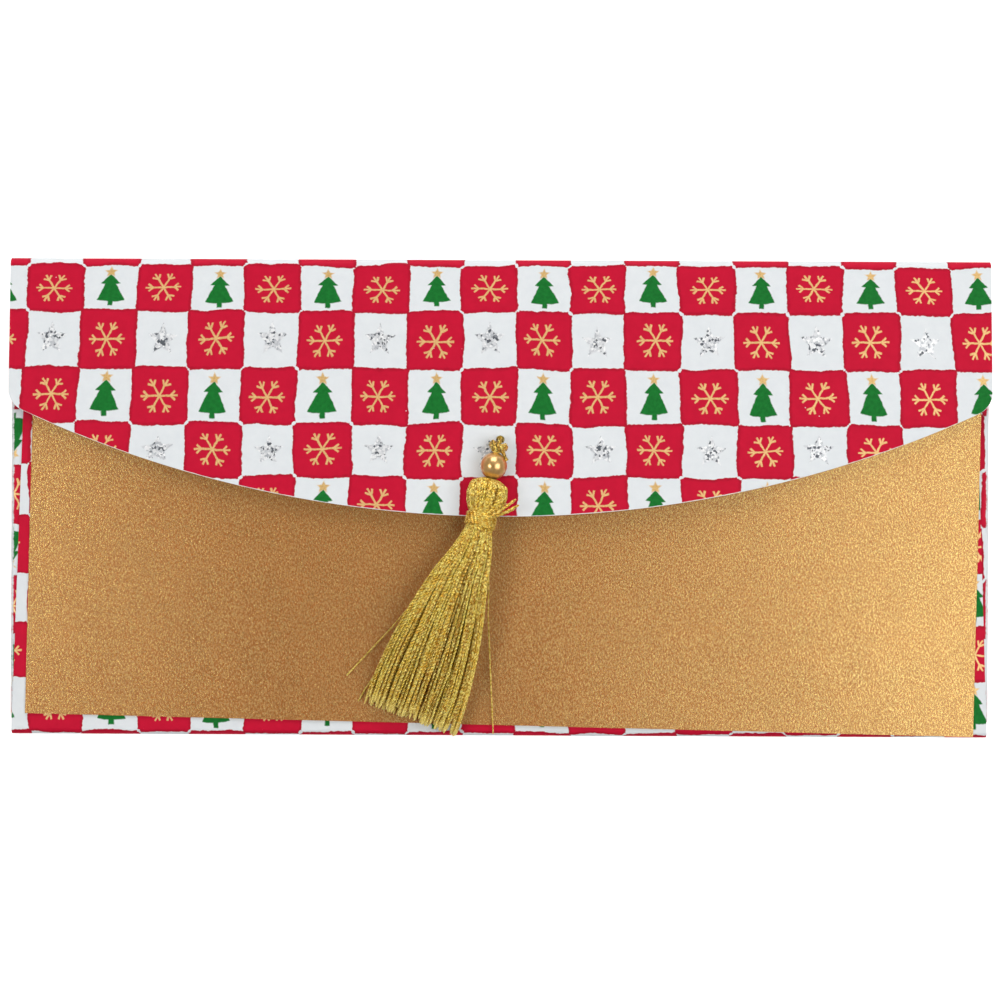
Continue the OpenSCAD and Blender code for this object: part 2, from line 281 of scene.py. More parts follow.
class Paint:
    """One material's node tree. place is the socket of the object's own coordinates, in metres."""

    def __init__(self, name):
        self.material = bpy.data.materials.new(name)
        self.material.use_nodes = True
        self.tree = self.material.node_tree
        self.surface = self.tree.nodes["Principled BSDF"]
        self.place = self.tree.nodes.new("ShaderNodeTexCoord").outputs["Object"]

    def node(self, kind, **inputs):
        """A node of that kind with its inputs set by name."""
        node = self.tree.nodes.new(kind)
        for key, value in inputs.items():
            feed(self.tree, node.inputs[key], value)
        return node

    def attribute(self, name):
        """An attribute of the mesh as a field."""
        node = self.tree.nodes.new("ShaderNodeAttribute")
        node.attribute_name = name
        return Field(self.tree, node.outputs["Fac"])

    def uv(self, name):
        """The socket of a UV map, and its two coordinates as fields."""
        node = self.tree.nodes.new("ShaderNodeUVMap")
        node.uv_map = name
        axes = self.node("ShaderNodeSeparateXYZ", Vector=node.outputs[0])
        return node.outputs[0], Field(self.tree, axes.outputs[0]), Field(self.tree, axes.outputs[1])

    def noise(self, vector, scale, detail=2.0, rough=0.5):
        """Smooth noise about one half."""
        node = self.node("ShaderNodeTexNoise", Vector=vector, Scale=scale, Detail=detail, Roughness=rough)
        return Field(self.tree, node.outputs["Fac"])

    def grains(self, vector, scale):
        """Random grey of each grain, and the distance from its middle."""
        node = self.node("ShaderNodeTexVoronoi", Vector=vector, Scale=scale)
        parts = self.node("ShaderNodeSeparateColor", Color=node.outputs["Color"])
        return Field(self.tree, parts.outputs[0]), Field(self.tree, node.outputs["Distance"])

    def mix(self, fac, a, b):
        """Colour a where fac is 0 and b where it is 1."""
        node = self.tree.nodes.new("ShaderNodeMix")
        node.data_type = "RGBA"
        for place, value in ((0, fac), (6, a), (7, b)):
            feed(self.tree, node.inputs[place], value)
        return node.outputs[2]

    def put(self, key, value):
        """Set or link one input of the surface's shader."""
        feed(self.tree, self.surface.inputs[key], value)

    def relief(self, height, distance, strength):
        """A bump that is distance metres high where the field is 1."""
        node = self.node("ShaderNodeBump", Height=height, Distance=distance, Strength=strength)
        self.put("Normal", node.outputs[0])


# %% [markdown]
# ## Figures of the print
# Red squares hold a six-armed snowflake, and white ones a tree or a silver glitter star by turns. They
# could be drawn as curves, but one square is one unit of the print's coordinates, so each figure is a
# short formula in the square's own two axes, with its middle at zero.

# %% Figures of the print
def folded(x, y, parts, start):
    """Polar coordinates folded into one of some equal parts, from the angle start: the distance along its
    middle and the distance across."""
    turn = y.op("ARCTAN2", x) * (parts / (2 * np.pi)) + (0.5 - start)
    part = abs(turn.op("FLOORED_MODULO", 1.0) - 0.5) * (2 * np.pi / parts)
    far = (x * x + y * y).op("SQRT")
    return far * part.op("COSINE"), far * part.op("SINE")


def star_field(x, y, size, soft):
    """1 inside a five-pointed star that points up: each half point is one straight edge."""
    along, across = folded(x, y, 5, 1.25)
    return (along * 0.417 + across * 0.909).below(0.417 * size, soft)


def snowflake_field(x, y):
    """1 on a six-armed snowflake: six bars, and on each a fork of two short bars."""
    along, across = folded(x, y, 6, 0.0)
    arm = across.below(0.017, 0.008) * along.below(0.33, 0.01)
    out = along - 0.2
    bar = out * 0.707 + across * 0.707
    off = abs(across * 0.707 - out * 0.707)
    fork = off.below(0.018, 0.008) * abs(bar - 0.05).below(0.062, 0.01)
    return arm.op("MAXIMUM", fork)


def tree_field(x, y):
    """1 on a tree of two tiers and a trunk: each tier is a triangle with a slightly raised foot."""
    wide = abs(x)
    foot = y - x * x * 0.5
    top = (wide + (y - 0.28) * 0.86).below(0.0, 0.012) * (-foot + 0.06).below(0.0, 0.012)
    low = (wide + (y - 0.06) * 0.46).below(0.1, 0.012) * (-foot - 0.31).below(0.0, 0.012)
    low = low * (y - 0.2).below(0.0, 0.012)
    trunk = wide.below(0.048, 0.012) * abs(y + 0.34).below(0.062, 0.012)
    return top.op("MAXIMUM", low).op("MAXIMUM", trunk)


# %% [markdown]
# ## The printed paper
# The real sheet is offset or screen printed. Red and white squares alternate, their edges a little rough
# where the ink spread, and at some corners the red squares don't quite meet. The squares could be faces
# of their own, but a formula lets their edges wander freely and runs on over the folds.

# %% Squares of the print
def wander(p, spot):
    """Drift in squares: a slow wander and a fine raggedness, both of them noise about zero."""
    return (p.noise(spot, 0.9) - 0.5) * 0.22 + (p.noise(spot, 11.0, 4.0) - 0.5) * 0.06


def check_field(p, spot, u, v):
    """Over 0 in red squares and under 0 in white ones: the sign comes from two crossing sine waves, the
    height from the nearer edge, and at some corners a small round gap takes the red away."""
    wave_u, wave_v = ((f * np.pi).op("SINE") for f in (u, v))
    check = -(wave_u * wave_v).op("SIGN") * abs(wave_u).op("MINIMUM", abs(wave_v))
    corner = (wave_u * wave_u + wave_v * wave_v).below(0.012, 0.012)
    return check - corner * p.noise(spot, 1.7).above(0.5, 0.1) * 0.2


# %% Printed paper
def printed_paper():
    p = Paint("printed paper")
    spot, u, v = p.uv("print")
    moved = p.node("ShaderNodeVectorMath", Vector=spot)
    moved.inputs[1].default_value = (7.3, 3.1, 0.0)
    drift_u = wander(p, spot)
    drift_v = wander(p, moved.outputs[0])
    check = check_field(p, spot, u + drift_u, v + drift_v)
    row, col = v.op("FLOOR"), u.op("FLOOR")
    odd_row = row.op("FLOORED_MODULO", 2.0)
    is_red = (row + col).op("FLOORED_MODULO", 2.0)
    cell = p.node("ShaderNodeCombineXYZ", X=col, Y=row)
    chance = p.node("ShaderNodeTexWhiteNoise", Vector=cell.outputs[0])
    shift = p.node("ShaderNodeSeparateColor", Color=chance.outputs["Color"])
    shift_x, shift_y = ((Field(p.tree, shift.outputs[k]) - 0.5) * 0.06 for k in (0, 1))
    x = u - col - 0.5 + shift_x + drift_u * 0.6
    y = v - row - 0.5 + shift_y + drift_v * 0.6
    flake = snowflake_field(x, y) * is_red
    tree = tree_field(x, y) * odd_row * ~is_red
    crown = star_field(x, y - 0.325, 0.115, 0.015) * odd_row * ~is_red
    silver = star_field(x, y, 0.29, 0.016) * ~odd_row * ~is_red
    red = check.above(-0.075, 0.025)
    rim = check.below(0.05, 0.09) * red
    mottle = p.noise(spot, 5.0, 5.0, 0.65)
    paper = p.mix(mottle, linear(218, 222, 225), linear(232, 235, 236))
    ink = p.mix(mottle, linear(186, 6, 44), linear(208, 16, 54))
    ink = p.mix(rim * (p.noise(spot, 9.0, 3.0) * 0.9), ink, linear(138, 8, 28))
    chip, chip_far = p.grains(spot, 4.0)
    missing = chip.above(0.93, 0.01) * (chip_far - chip * 0.1 + 0.06).below(0.0, 0.02)
    colour = p.mix(red * ~missing, paper, ink)
    dust = p.noise(spot, 30.0)
    colour = p.mix(flake, colour, p.mix(dust, linear(206, 150, 84), linear(255, 222, 158)))
    leaf = p.mix(p.noise(spot, 14.0, 4.0), linear(8, 86, 30), linear(26, 132, 50))
    colour = p.mix(tree, colour, leaf)
    colour = p.mix(crown, colour, p.mix(dust, linear(196, 140, 70), linear(246, 216, 150)))
    # The silver stars' glitter grains each get a random grey up to white, and a few are dark: painted
    # glints and painted dark reflections of the glitter.
    fleck, _ = p.grains(spot, 26.0)
    shine = p.mix(fleck, linear(170, 174, 180), linear(255, 255, 255))
    colour = p.mix(silver, colour, p.mix(fleck.below(0.14, 0.02), shine, linear(98, 102, 108)))
    bare, worn = p.attribute("bare"), p.attribute("worn")
    rubbed = (worn + (p.noise(spot, 8.0, 5.0, 0.7) - 0.5) * 0.7).above(0.5, 0.12) * worn.above(0.02, 0.01)
    p.put("Base Color", p.mix(bare.op("MAXIMUM", rubbed), colour, linear(230, 232, 233)))
    metal = flake + silver + crown
    p.put("Roughness", metal * -0.2 + 0.55)
    p.put("Specular IOR Level", 0.12)
    p.put("Metallic", metal * 0.25 * ~bare)
    raised = (red * 0.3 + flake * 0.7 + tree * 0.5 + silver * fleck) * ~bare
    p.relief(raised + p.noise(p.place, 2600.0, 3.0) * 0.5, 0.00004, 0.6)
    return p.material


PRINT = printed_paper()
print("printed paper:", len(PRINT.node_tree.nodes), "nodes")


# %% [markdown]
# ## Gold paper
# The pasted front panel is a paper coated with gold flakes in a brown binder, with a fine pebbled grain.
# It could be one even metal, but then its shade would lose the warm binder and its light the pale flakes.
# A noise of short fibres raises the coat, so that it breaks up the lamps' light. The same noise darkens
# the coat in the grain's hollows and lightens it on its raised fibres: partly the grain's own tone, partly
# painted shade and painted highlights.

# %% Gold paper
def gold_paper():
    """Pale metal flakes in a matt orange-brown binder: a flake lies wherever a fine noise is high."""
    p = Paint("gold paper")
    streak = p.node("ShaderNodeMapping", Vector=p.place, Scale=(1.0, 0.6, 1.0), Rotation=(0.0, 0.0, 0.9))
    fibre = p.noise(streak.outputs[0], 3400.0, 4.0, 0.65)
    cloud = p.noise(p.place, 160.0, 4.0, 0.6)
    flake = (p.noise(p.place, 30000.0, 1.0) + fibre * 0.05).above(0.575, 0.14)
    binder = p.mix(cloud, linear(158, 66, 0), linear(184, 80, 0))
    base = p.mix(flake * 0.85, binder, linear(255, 247, 168))
    # Painted shade, partly the grain's own tone: darker where the fibre noise that also sinks the relief is
    # low.
    base = p.mix(fibre.below(0.49, 0.14) * 0.36, base, linear(118, 54, 8))
    # Painted highlight, partly the grain's own tone: paler where the raised fibres stand highest.
    base = p.mix(fibre.above(0.56, 0.1) * 0.22, base, linear(255, 226, 150))
    bare = p.attribute("bare")
    p.put("Base Color", p.mix(bare * 0.4, base, linear(236, 226, 205)))
    p.put("Metallic", flake * (bare * -0.6 + 1.0) * 0.9)
    p.put("Roughness", fibre * 0.06 + 0.22)
    p.put("Specular IOR Level", 0.2)
    p.put("Specular Tint", linear(255, 206, 110))
    p.relief(fibre + cloud * 1.2, 0.00005, 0.72)
    return p.material


GOLD = gold_paper()
print("gold paper:", len(GOLD.node_tree.nodes), "nodes")


# %% [markdown]
# ## Metallic yarn and cord
# The yarn is a metallised strip wound on a core. Its glints are painted on as pale spots, and shade is
# painted into the groove between plies and into small pits. It could be one plain gold, but then the skirt
# would read as a solid: each strand's own tint keeps them apart, and a few strands are painted darker as
# the shade between them. The same formula with darker colours is the knot's cord.

# %% Yarn and cord
def yarn(name, dark, middle, bright, groove_shade, pitch):
    """Two-ply metallic yarn: a stripe winds round twice in each turn and once for each pitch of length.
    Each strand's own tint attribute gives its tone, and a low tint also paints the strand darker as shade
    between strands; tip is 1 at its pale cut end, painted paler still as a highlight."""
    p = Paint(name)
    _, around, length = p.uv("twist")
    ply = ((around * 2.0 - length * (1 / pitch)) * (2 * np.pi)).op("SINE") * 0.5 + 0.5
    tint_and_shade, tip = p.attribute("tint_and_shade"), p.attribute("tip")
    glint, _ = p.grains(p.place, 3200.0)
    pits_and_shade = p.noise(p.place, 2600.0, 2.0)
    shade = tint_and_shade * 0.75 + (p.noise(p.place, 900.0, 3.0) - 0.5) * 1.6 + 0.25
    base = p.mix(shade.op("MAXIMUM", 0.0).op("MINIMUM", 1.0), middle, bright)
    # Painted shade in the groove between plies.
    base = p.mix((~ply).op("POWER", 2.0) * groove_shade, base, dark)
    # Painted shade: strands with a low tint are darkened, standing in for the shadow between strands and
    # inside the head.
    base = p.mix(tint_and_shade.below(0.16, 0.12) * 0.4, base, dark)
    # Painted shade in pits: darker where the fine noise that also sinks the relief is low.
    base = p.mix(pits_and_shade.below(0.42, 0.05) * 0.6, base, linear(120, 58, 0))
    # Painted glints: pale spots where the grains' random value is high.
    base = p.mix(glint.op("POWER", 2.0) * 0.95, base, linear(255, 238, 136))
    # The cut ends are paler yarn, partly their own colour and partly painted light that brightens them
    # where they lie in shade.
    base = p.mix(tip * 0.95, base, linear(255, 230, 124))
    p.put("Base Color", base)
    p.put("Metallic", tip * -0.4 + 0.46)
    p.put("Roughness", glint * 0.15 + 0.2)
    p.relief(ply + pits_and_shade, 0.00012, 0.9)
    return p.material


YARN = yarn("gold yarn", linear(66, 26, 0), linear(255, 182, 36), linear(255, 224, 88), 0.55, 0.7)
CORD = yarn("dark gold cord", linear(44, 24, 4), linear(168, 112, 20), linear(236, 190, 66), 0.95, 1.1)
print("yarn and cord:", len(YARN.node_tree.nodes), "nodes each")


# %% [markdown]
# ## Pearl and paste
# The bead is a pearl lacquer under a clear coat, a little cloudy in colour. The paste is dry and nearly
# white. Both could be more elaborate, but the bead is 5 mm across and the paste hardly shows at all.

# %% Pearl and paste
def pearl():
    """Gold lacquer between two colours that a noise mixes, under a clear coat."""
    p = Paint("gold pearl")
    cloud = p.noise(p.place, 1400.0, 3.0)
    p.put("Base Color", p.mix(cloud, linear(196, 140, 68), linear(242, 200, 130)))
    p.put("Metallic", 0.7)
    p.put("Roughness", 0.3)
    p.put("Coat Weight", 1.0)
    p.put("Coat Roughness", 0.18)
    return p.material


def dry_paste():
    """Off-white paste between two colours that a noise mixes."""
    p = Paint("dry paste")
    cloud = p.noise(p.place, 700.0, 3.0)
    p.put("Base Color", p.mix(cloud, linear(214, 206, 184), linear(244, 240, 228)))
    p.put("Roughness", 0.5)
    return p.material


PEARL = pearl()
PASTE = dry_paste()
print("finishes:", [m.name for m in bpy.data.materials])

# %% [markdown]
# ## Where the print lies
# One sheet of paper makes the back, both side tabs, the front and the flap. Its print coordinate across
# is the place along X before folding, and its coordinate up runs from the flap over the crease, down the
# back, round the bottom fold and up the front. So trees are upright on the flap and front, and upside
# down on the back and tabs. Rows could be evenly spaced, but on the real sheet they are not quite, so
# each row on the flap has its own place.

# %% Print coordinates
CELL_W, CELL_X = 10.15, -7.18
FRONT_SHIFT, FRONT_ROWS, FRONT_SPAN = 0.185, 8.0, 80.48
ROWS_TO_FRONT = 9.075
FRONT_START = -(CREASE_LEN + HINGE_Y - BOTTOM_Y + BOTTOM_R * np.pi + FRONT_SHIFT)
ROW_DOWN = [FRONT_START - FRONT_SPAN, FRONT_START, 0.0, 8.65, 19.4, 29.8, 39.7, 50.0]
ROW_AT = [ROWS_TO_FRONT + FRONT_ROWS, ROWS_TO_FRONT, 0.0, -1.0, -2.0, -3.0, -4.0, -5.0]


def cells(across, down):
    """Squares from a place across the sheet and a distance down the flap from its crease, both in mm."""
    rows = np.interp(down, ROW_DOWN, ROW_AT)
    return np.stack(np.broadcast_arrays((across - CELL_X) / CELL_W, rows), axis=-1)


def back_down(y):
    """Distance down the sheet for a height y on the back: negative, since it lies beyond the crease."""
    return y - HINGE_Y - CREASE_LEN


def printed_sheet(name, points, prints, facing, node, body="envelope", **more):
    """A sheet of the printed paper in place of one CAD node."""
    return paper_piece(name, points, prints, facing, PRINT, [node], body, **more)


BACK_END = back_down(BOTTOM_Y)
back_rows = np.diff(np.interp([BACK_END, 0], ROW_DOWN, ROW_AT))[0]
print("rows of squares on the back:", round(float(back_rows), 2))

# %% [markdown]
# ## Back panel and front panel
# The back is wider above and below the side folds, where it has no tab to turn over. The front tapers to
# its mouth. Both could be flat boxes, but as grids they carry the print's coordinates point by point.

# %% Back panel and front panel
TAB_LOW, TAB_HIGH, NOTCH = -41.75, 34.75, 0.02
FRONT_Z, MOUTH_Y, FRONT_HALF, MOUTH_HALF = 2.33, 28.75, 91.6, 89.2
ROWS, COLS = 60, 90

step = np.array([BOTTOM_Y, TAB_LOW - NOTCH, TAB_LOW + NOTCH, TAB_HIGH - NOTCH, TAB_HIGH + NOTCH, HINGE_Y])
wide = np.array([FRONT_HALF, FRONT_HALF, SIDE_X, SIDE_X, HALF_W, HALF_W])
y = np.unique(np.concatenate([step, np.linspace(BOTTOM_Y, HINGE_Y, ROWS)]))[:, None]
x = np.interp(y, step, wide) * np.linspace(-1, 1, COLS)[None]
printed_sheet("back_sheet", grid(x, y, 0.0), cells(x, back_down(y)), (0, 0, -1), "back_panel")

y = np.linspace(BOTTOM_Y, MOUTH_Y, ROWS)[:, None]
x = np.interp(y, [BOTTOM_Y, MOUTH_Y], [FRONT_HALF, MOUTH_HALF]) * np.linspace(-1, 1, COLS)[None]
down = BACK_END - BOTTOM_R * np.pi - (y - BOTTOM_Y)
printed_sheet("front_sheet", grid(x, y, FRONT_Z), cells(x, down), (0, 0, 1), "front_panel")

# %% [markdown]
# ## Bottom fold and side folds
# A crease in card is a small half round, and handling rubs the ink off along it. A sharp edge could stand
# for it, but a half cylinder catches the light as folded paper does. How worn the print is follows a bell
# curve round the fold, highest on its outer and upper side.

# %% Bottom fold and side folds
a = np.linspace(-np.pi / 2, np.pi / 2, 25)[:, None]
x = np.linspace(-FRONT_HALF, FRONT_HALF, COLS)[None]
points = grid(x, BOTTOM_Y - BOTTOM_R * np.cos(a), BOTTOM_R + BOTTOM_R * np.sin(a))
prints = cells(x, BACK_END - BOTTOM_R * (a + np.pi / 2))
rub = 0.4 * np.exp(-((a - 0.2) ** 2) / 0.2) + 0 * x
printed_sheet("bottom_fold_sheet", points, prints, (0, -1, 0), "bottom_fold", worn=rub)

SIDES = ((-1, "left"), (1, "right"))
y = np.linspace(TAB_LOW, TAB_HIGH, 50)[None]
rub = 0.62 * np.exp(-((a - 0.8) ** 2) / 0.5) + 0 * y
for side, name in SIDES:
    points = grid(side * (SIDE_X + SIDE_R * np.cos(a)), y, SIDE_R + SIDE_R * np.sin(a))
    prints = cells(side * (SIDE_X + SIDE_R * (a + np.pi / 2)), back_down(y))
    printed_sheet(name + "_fold_sheet", points, prints, (side, 0, 0), name + "_side_fold", worn=rub)

# %% [markdown]
# ## Side tabs
# The side tabs turn over from the back and are pasted under the front, with slanted ends as glue tabs
# have. They could be left out, since little of them shows, but the pocket would then be open at its
# sides.

# %% Side tabs
TAB_W, TAB_SLOPE = 15.0, 4.0
inward = np.linspace(0, 1, 12)[:, None]
rise = np.linspace(0, 1, 50)[None]
y = (TAB_LOW + TAB_SLOPE * inward) * (1 - rise) + (TAB_HIGH - TAB_SLOPE * inward) * rise
for side, name in SIDES:
    points = grid(side * (SIDE_X - TAB_W * inward), y, 2 * SIDE_R)
    prints = cells(side * (SIDE_X + SIDE_R * np.pi + TAB_W * inward), back_down(y))
    printed_sheet(name + "_tab_sheet", points, prints, (0, 0, 1), name + "_glue_tab")

# %% [markdown]
# ## The gold panel
# A rectangle of gold paper is pasted on the front, a little out of square, as it is in the photograph. It
# could lie dead flat, but pasted paper never does, so it swells by a few hundredths of a millimetre.

# %% Gold panel
GOLD_Z, GOLD_T, GOLD_W, GOLD_H, GOLD_LOW = 2.71, 0.3, 178.0, 68.4, -42.65
GOLD_TURN = np.radians(-1.2)
across = np.linspace(-GOLD_W / 2, GOLD_W / 2, 140)[None]
up = np.linspace(0, GOLD_H, 60)[:, None]
swell = 0.06 * np.sin(across / 9 + 0.8 * np.sin(up / 13)) * np.sin(up / 15 + 0.8) - 0.06
points = grid(
    across * np.cos(GOLD_TURN) - up * np.sin(GOLD_TURN),
    GOLD_LOW + across * np.sin(GOLD_TURN) + up * np.cos(GOLD_TURN),
    GOLD_Z + swell,
)
prints = np.stack(np.broadcast_arrays(across / 10, up / 10), axis=-1)
paper_piece("gold_sheet", points, prints, (0, 0, 1), GOLD, ["gold_panel"], "envelope", "gold_paper", GOLD_T)


# %% [markdown]
# ## The flap
# The flap's lower edge is one wide arc with small round corners, and the tassel's cord goes through a
# hole in it. It stands a little open, since the knot behind it keeps it off the gold. The hole could be
# cut with a Boolean, but moving one ring of grid points onto a circle keeps the mesh clean.

# %% Flap outline
def lifted(y, z):
    """Points of the closed flap, y from the crease and z from its axis, lifted about the crease's axis."""
    return HINGE_Y + y * np.cos(LIFT) + z * np.sin(LIFT), CREASE_R - y * np.sin(LIFT) + z * np.cos(LIFT)


FLAP_LEN, FLAP_R, FLAP_CORNER = 47.0, 214.0, 2.5
ends = np.linspace(0, 1, 10)[:-1]
u = np.concatenate([-1 + 0.03 * ends**2, np.linspace(-0.97, 0.97, 161), 1 - 0.03 * ends[::-1] ** 2])
x = HALF_W * u[None]
corner = np.clip((abs(x) - HALF_W + FLAP_CORNER) / FLAP_CORNER, 0, 1)
edge = FLAP_LEN - FLAP_R + np.sqrt(FLAP_R**2 - x**2) - FLAP_CORNER * (1 - np.sqrt(1 - corner**2))
down = np.append(np.linspace(0, 0.9935, 66), 1.0)[:, None] * edge
x = np.broadcast_to(x, down.shape)
rows, cols = down.shape
print("flap length in mm, at its ends and middle:", edge.min().round(2), edge.max().round(2))

# %% Flap with its cord hole
HOLE_AT, HOLE_R, HOLE_RING = 32.6, 0.8, 2
row = int(abs(down[:, cols // 2] - HOLE_AT).argmin())
col = int(abs(x[0]).argmin())
away_x, away_y = x - x[row, col], down - down[row, col]
far = np.hypot(away_x, away_y) + 1e-9
ring = np.maximum(abs(np.arange(rows) - row)[:, None], abs(np.arange(cols) - col)[None])
x = np.where(ring == HOLE_RING, away_x / far * HOLE_R, x)
down = np.where(ring == HOLE_RING, HOLE_AT + away_y / far * HOLE_R, down)
keep = np.ones((rows - 1, cols - 1), bool)
keep[row - HOLE_RING : row + HOLE_RING, col - HOLE_RING : col + HOLE_RING] = False
wave = 0.1 * np.sin(x / 21 + 1.1) * (down / FLAP_LEN) ** 2
flap_y, flap_z = lifted(-down, CREASE_R + wave)
prints = cells(x / (1 + 0.0005 * down), down)
rub = 0.8 * (np.arange(rows) == rows - 1)[:, None]
printed_sheet("flap_sheet", grid(x, flap_y, flap_z), prints, (0, 0, 1), "flap", "flap", keep=keep, worn=rub)

# %% [markdown]
# ## The flap's crease
# The crease is a half cylinder of paper that bends when the flap opens. It could move with the flap
# alone, but it would then tear off the back panel, so here it is attached to neither body.

# %% Flap crease
a = np.linspace(-np.pi / 2, np.pi / 2 - LIFT, 40)[:, None]
x = HALF_W * np.linspace(-1, 1, 120)[None]
points = grid(x, HINGE_Y + CREASE_R * np.cos(a), CREASE_R + CREASE_R * np.sin(a))
prints = cells(x, CREASE_R * (a - np.pi / 2 + LIFT))
crease = printed_sheet("crease_sheet", points, prints, (0, 1, 0), "flap_crease", None)
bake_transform(crease)


# %% [markdown]
# ## The tassel's axes
# The tassel hangs from the bend of its cord above the hole, leaning to one side and sinking to the gold.
# Its pieces could be placed in the envelope's axes, but they are simpler in axes of their own: to the
# right, along the cord, and up. Three turns carry those axes into the envelope's.

# %% Tassel axes
def about_x(angle):
    """Turn about the X axis: y and z mix by the angle's cosine and sine."""
    c, s = np.cos(angle), np.sin(angle)
    return np.array([[1, 0, 0], [0, c, -s], [0, s, c]])


def about_z(angle):
    """Turn about the Z axis: x and y mix by the angle's cosine and sine."""
    c, s = np.cos(angle), np.sin(angle)
    return np.array([[c, -s, 0], [s, c, 0], [0, 0, 1]])


LEAN, RISE, BEND_H = np.radians(-13.0), np.radians(-3.101), 2.4
TURN = about_x(-LIFT) @ about_z(LEAN) @ about_x(RISE)
RIGHT, ALONG, UP = TURN[:, 0], -TURN[:, 1], TURN[:, 2]
FLAP_UP = np.array([0, np.sin(LIFT), np.cos(LIFT)])
HOLE = np.array([0, *lifted(-HOLE_AT, CREASE_R)])
BEND = HOLE + BEND_H * FLAP_UP


def tassel_points(right, along, up):
    """Points in the envelope's frame, in mm, from places in the tassel's own axes."""
    return BEND + grid(right, -np.asarray(along), up) @ TURN.T


print("bend at", BEND.round(3), "axis", ALONG.round(4))


# %% [markdown]
# ## Strands
# Head, skirt, wrap, knot and cords are all sets of tubes with the same map and attributes. Each strand
# could be an object of its own, but one piece for each CAD solid keeps names and joints plain.

# %% Strand maker
def strand_piece(name, made, material, nodes, body, tint_and_shade, tip):
    """One object from several sets of tubes, with the map and attributes that the yarn's finish reads."""
    points, polygons, twists, first = [], [], [], 0
    for p, groups, twist in made:
        points.append(p)
        polygons += [g + first for g in groups]
        twists.append(twist)
        first += len(p)
    smooth = np.ones(sum(len(g) for g in polygons), bool)
    piece = make_piece(name, np.concatenate(points), polygons, smooth, material, nodes, body)
    layer = piece.data.uv_layers.new(name="twist")
    layer.data.foreach_set("uv", np.concatenate(twists).astype(np.float32).ravel())
    add_attribute(piece, "tint_and_shade", "POINT", np.broadcast_to(tint_and_shade, first))
    add_attribute(piece, "tip", "POINT", np.broadcast_to(tip, first))


# %% [markdown]
# ## The skirt
# A real tassel is a hank of yarn folded over a cord and bound below the fold, so the skirt is loose
# yarns. A fluted solid could stand for them, as in the CAD, but only separate yarns leave the dark gaps
# between them. They start in three rings round the neck, fan out, flatten and sink, and seeded draws make
# no two alike.

# %% Skirt paths
SKIRT_AT, SKIRT_L, DROOP = 17.125, 36.2, 8.74
NECK_W, NECK_T, END_W, END_T = 2.6, 2.1, 9.4, 1.5
STEPS, PLY_SIDES = 100, 6
rings = [(1.0, 96), (0.7, 44), (0.3, 10)]
level = np.concatenate([np.full(n, r) for r, n in rings])[:, None]
angle = [2 * np.pi * (np.arange(n) + 0.5 * (k % 2)) / n for k, (_, n) in enumerate(rings)]
angle = np.concatenate(angle)[:, None]
count = len(level)
angle = angle + rng.normal(0, 0.03, (count, 1))
level = level * (1 - 0.22 * rng.random((count, 1)) ** 2)
cut = 1.03 - rng.random((count, 1)) ** 2 * 0.045
t = np.linspace(0, 1, STEPS)[None] * cut
drift = rng.normal(0, 1, (count, 3, 1))
lean = angle + 0.05 * drift[:, 0] * np.sin(3.0 * t + drift[:, 1]) * t
lean = lean + 0.035 * drift[:, 2] * np.sin(11.0 * t + 3.0 * drift[:, 1]) * np.sqrt(t)
half_w = NECK_W + (END_W - NECK_W) * np.sin(np.pi / 2 * t) - 0.3
half_t = NECK_T + (END_T - NECK_T) * t - 0.25
blunt = 1 - 0.4 * t
right = level * half_w * np.cos(lean) + 0.18 * drift[:, 2] * np.sin(5 * t + drift[:, 0] * 3) * t
up = level * half_t * np.where(np.sin(lean) < 0, -0.86, 1.0) * abs(np.sin(lean)) ** blunt
turn = np.radians(7) * np.clip(4 * t, 0, 1)
along = SKIRT_AT + SKIRT_L * t + right * np.sin(turn)
right = right * np.cos(turn) - SKIRT_L * t * np.sin(turn)
paths = tassel_points(right, along, up - DROOP * t**2)
print(count, "yarns, the lowest at", round(float(paths[..., 2].min()), 2), "mm")

# %% [markdown]
# ## Stray yarns
# A few yarns have come away from the skirt and lie on the gold. They could be drawn at random, but the
# photograph shows where they lie, so each has five points along its way.

# %% Skirt with its stray yarns
taper = np.clip((cut - t) * SKIRT_L / 0.5, 0.35, 1)
skirt_radius = (0.15 + 0.055 * np.clip(2.5 * t, 0, 1)) * taper
made = [tubes(paths, skirt_radius, PLY_SIDES, UP, 0.1, 2.4)]
# Each yarn's own tint; the lowest ones are painted darker as shade between strands.
tint_and_shade = np.repeat(rng.random(count), STEPS * PLY_SIDES)
# tip is 1 at the cut ends, which are painted pale, partly as their own colour and partly as painted light.
tip = np.repeat(np.clip(1.2 - (cut - t) * SKIRT_L / 2.0, 0, 1).ravel(), PLY_SIDES)
strays = [
    [[-2.4, -6.5, 7.6], [-2, -9, 7.1], [-2.1, -22, 5.3], [-1.6, -34, 3.9], [-1.1, -44.2, 3.2]],
    [[-14, -17, 5.6], [-17, -20.6, 4.6], [-20.4, -24.6, 3.7], [-23.6, -28, 3.2], [-28.6, -33.4, 3.05]],
    [[-22, -31, 3.8], [-23.2, -33, 3.5], [-24.2, -34.6, 3.3], [-25.2, -36, 3.1], [-26.4, -38.2, 3]],
]
knots = np.linspace(0, 1, 5)
t = np.linspace(0, 1, 60)
bent = [[np.interp(t, knots, c) for c in np.array(one).T] for one in strays]
made.append(tubes(np.array(bent).transpose(0, 2, 1), 0.13, 5, (0, 0, 1), 0.1, 0.8))
total = len(made[1][0])
tint_and_shade = np.append(tint_and_shade, np.full(total, 0.6))
tip = np.append(tip, np.full(total, 0.25))
strand_piece("skirt_yarns", made, YARN, ["tassel_skirt"], "tassel", tint_and_shade, tip)

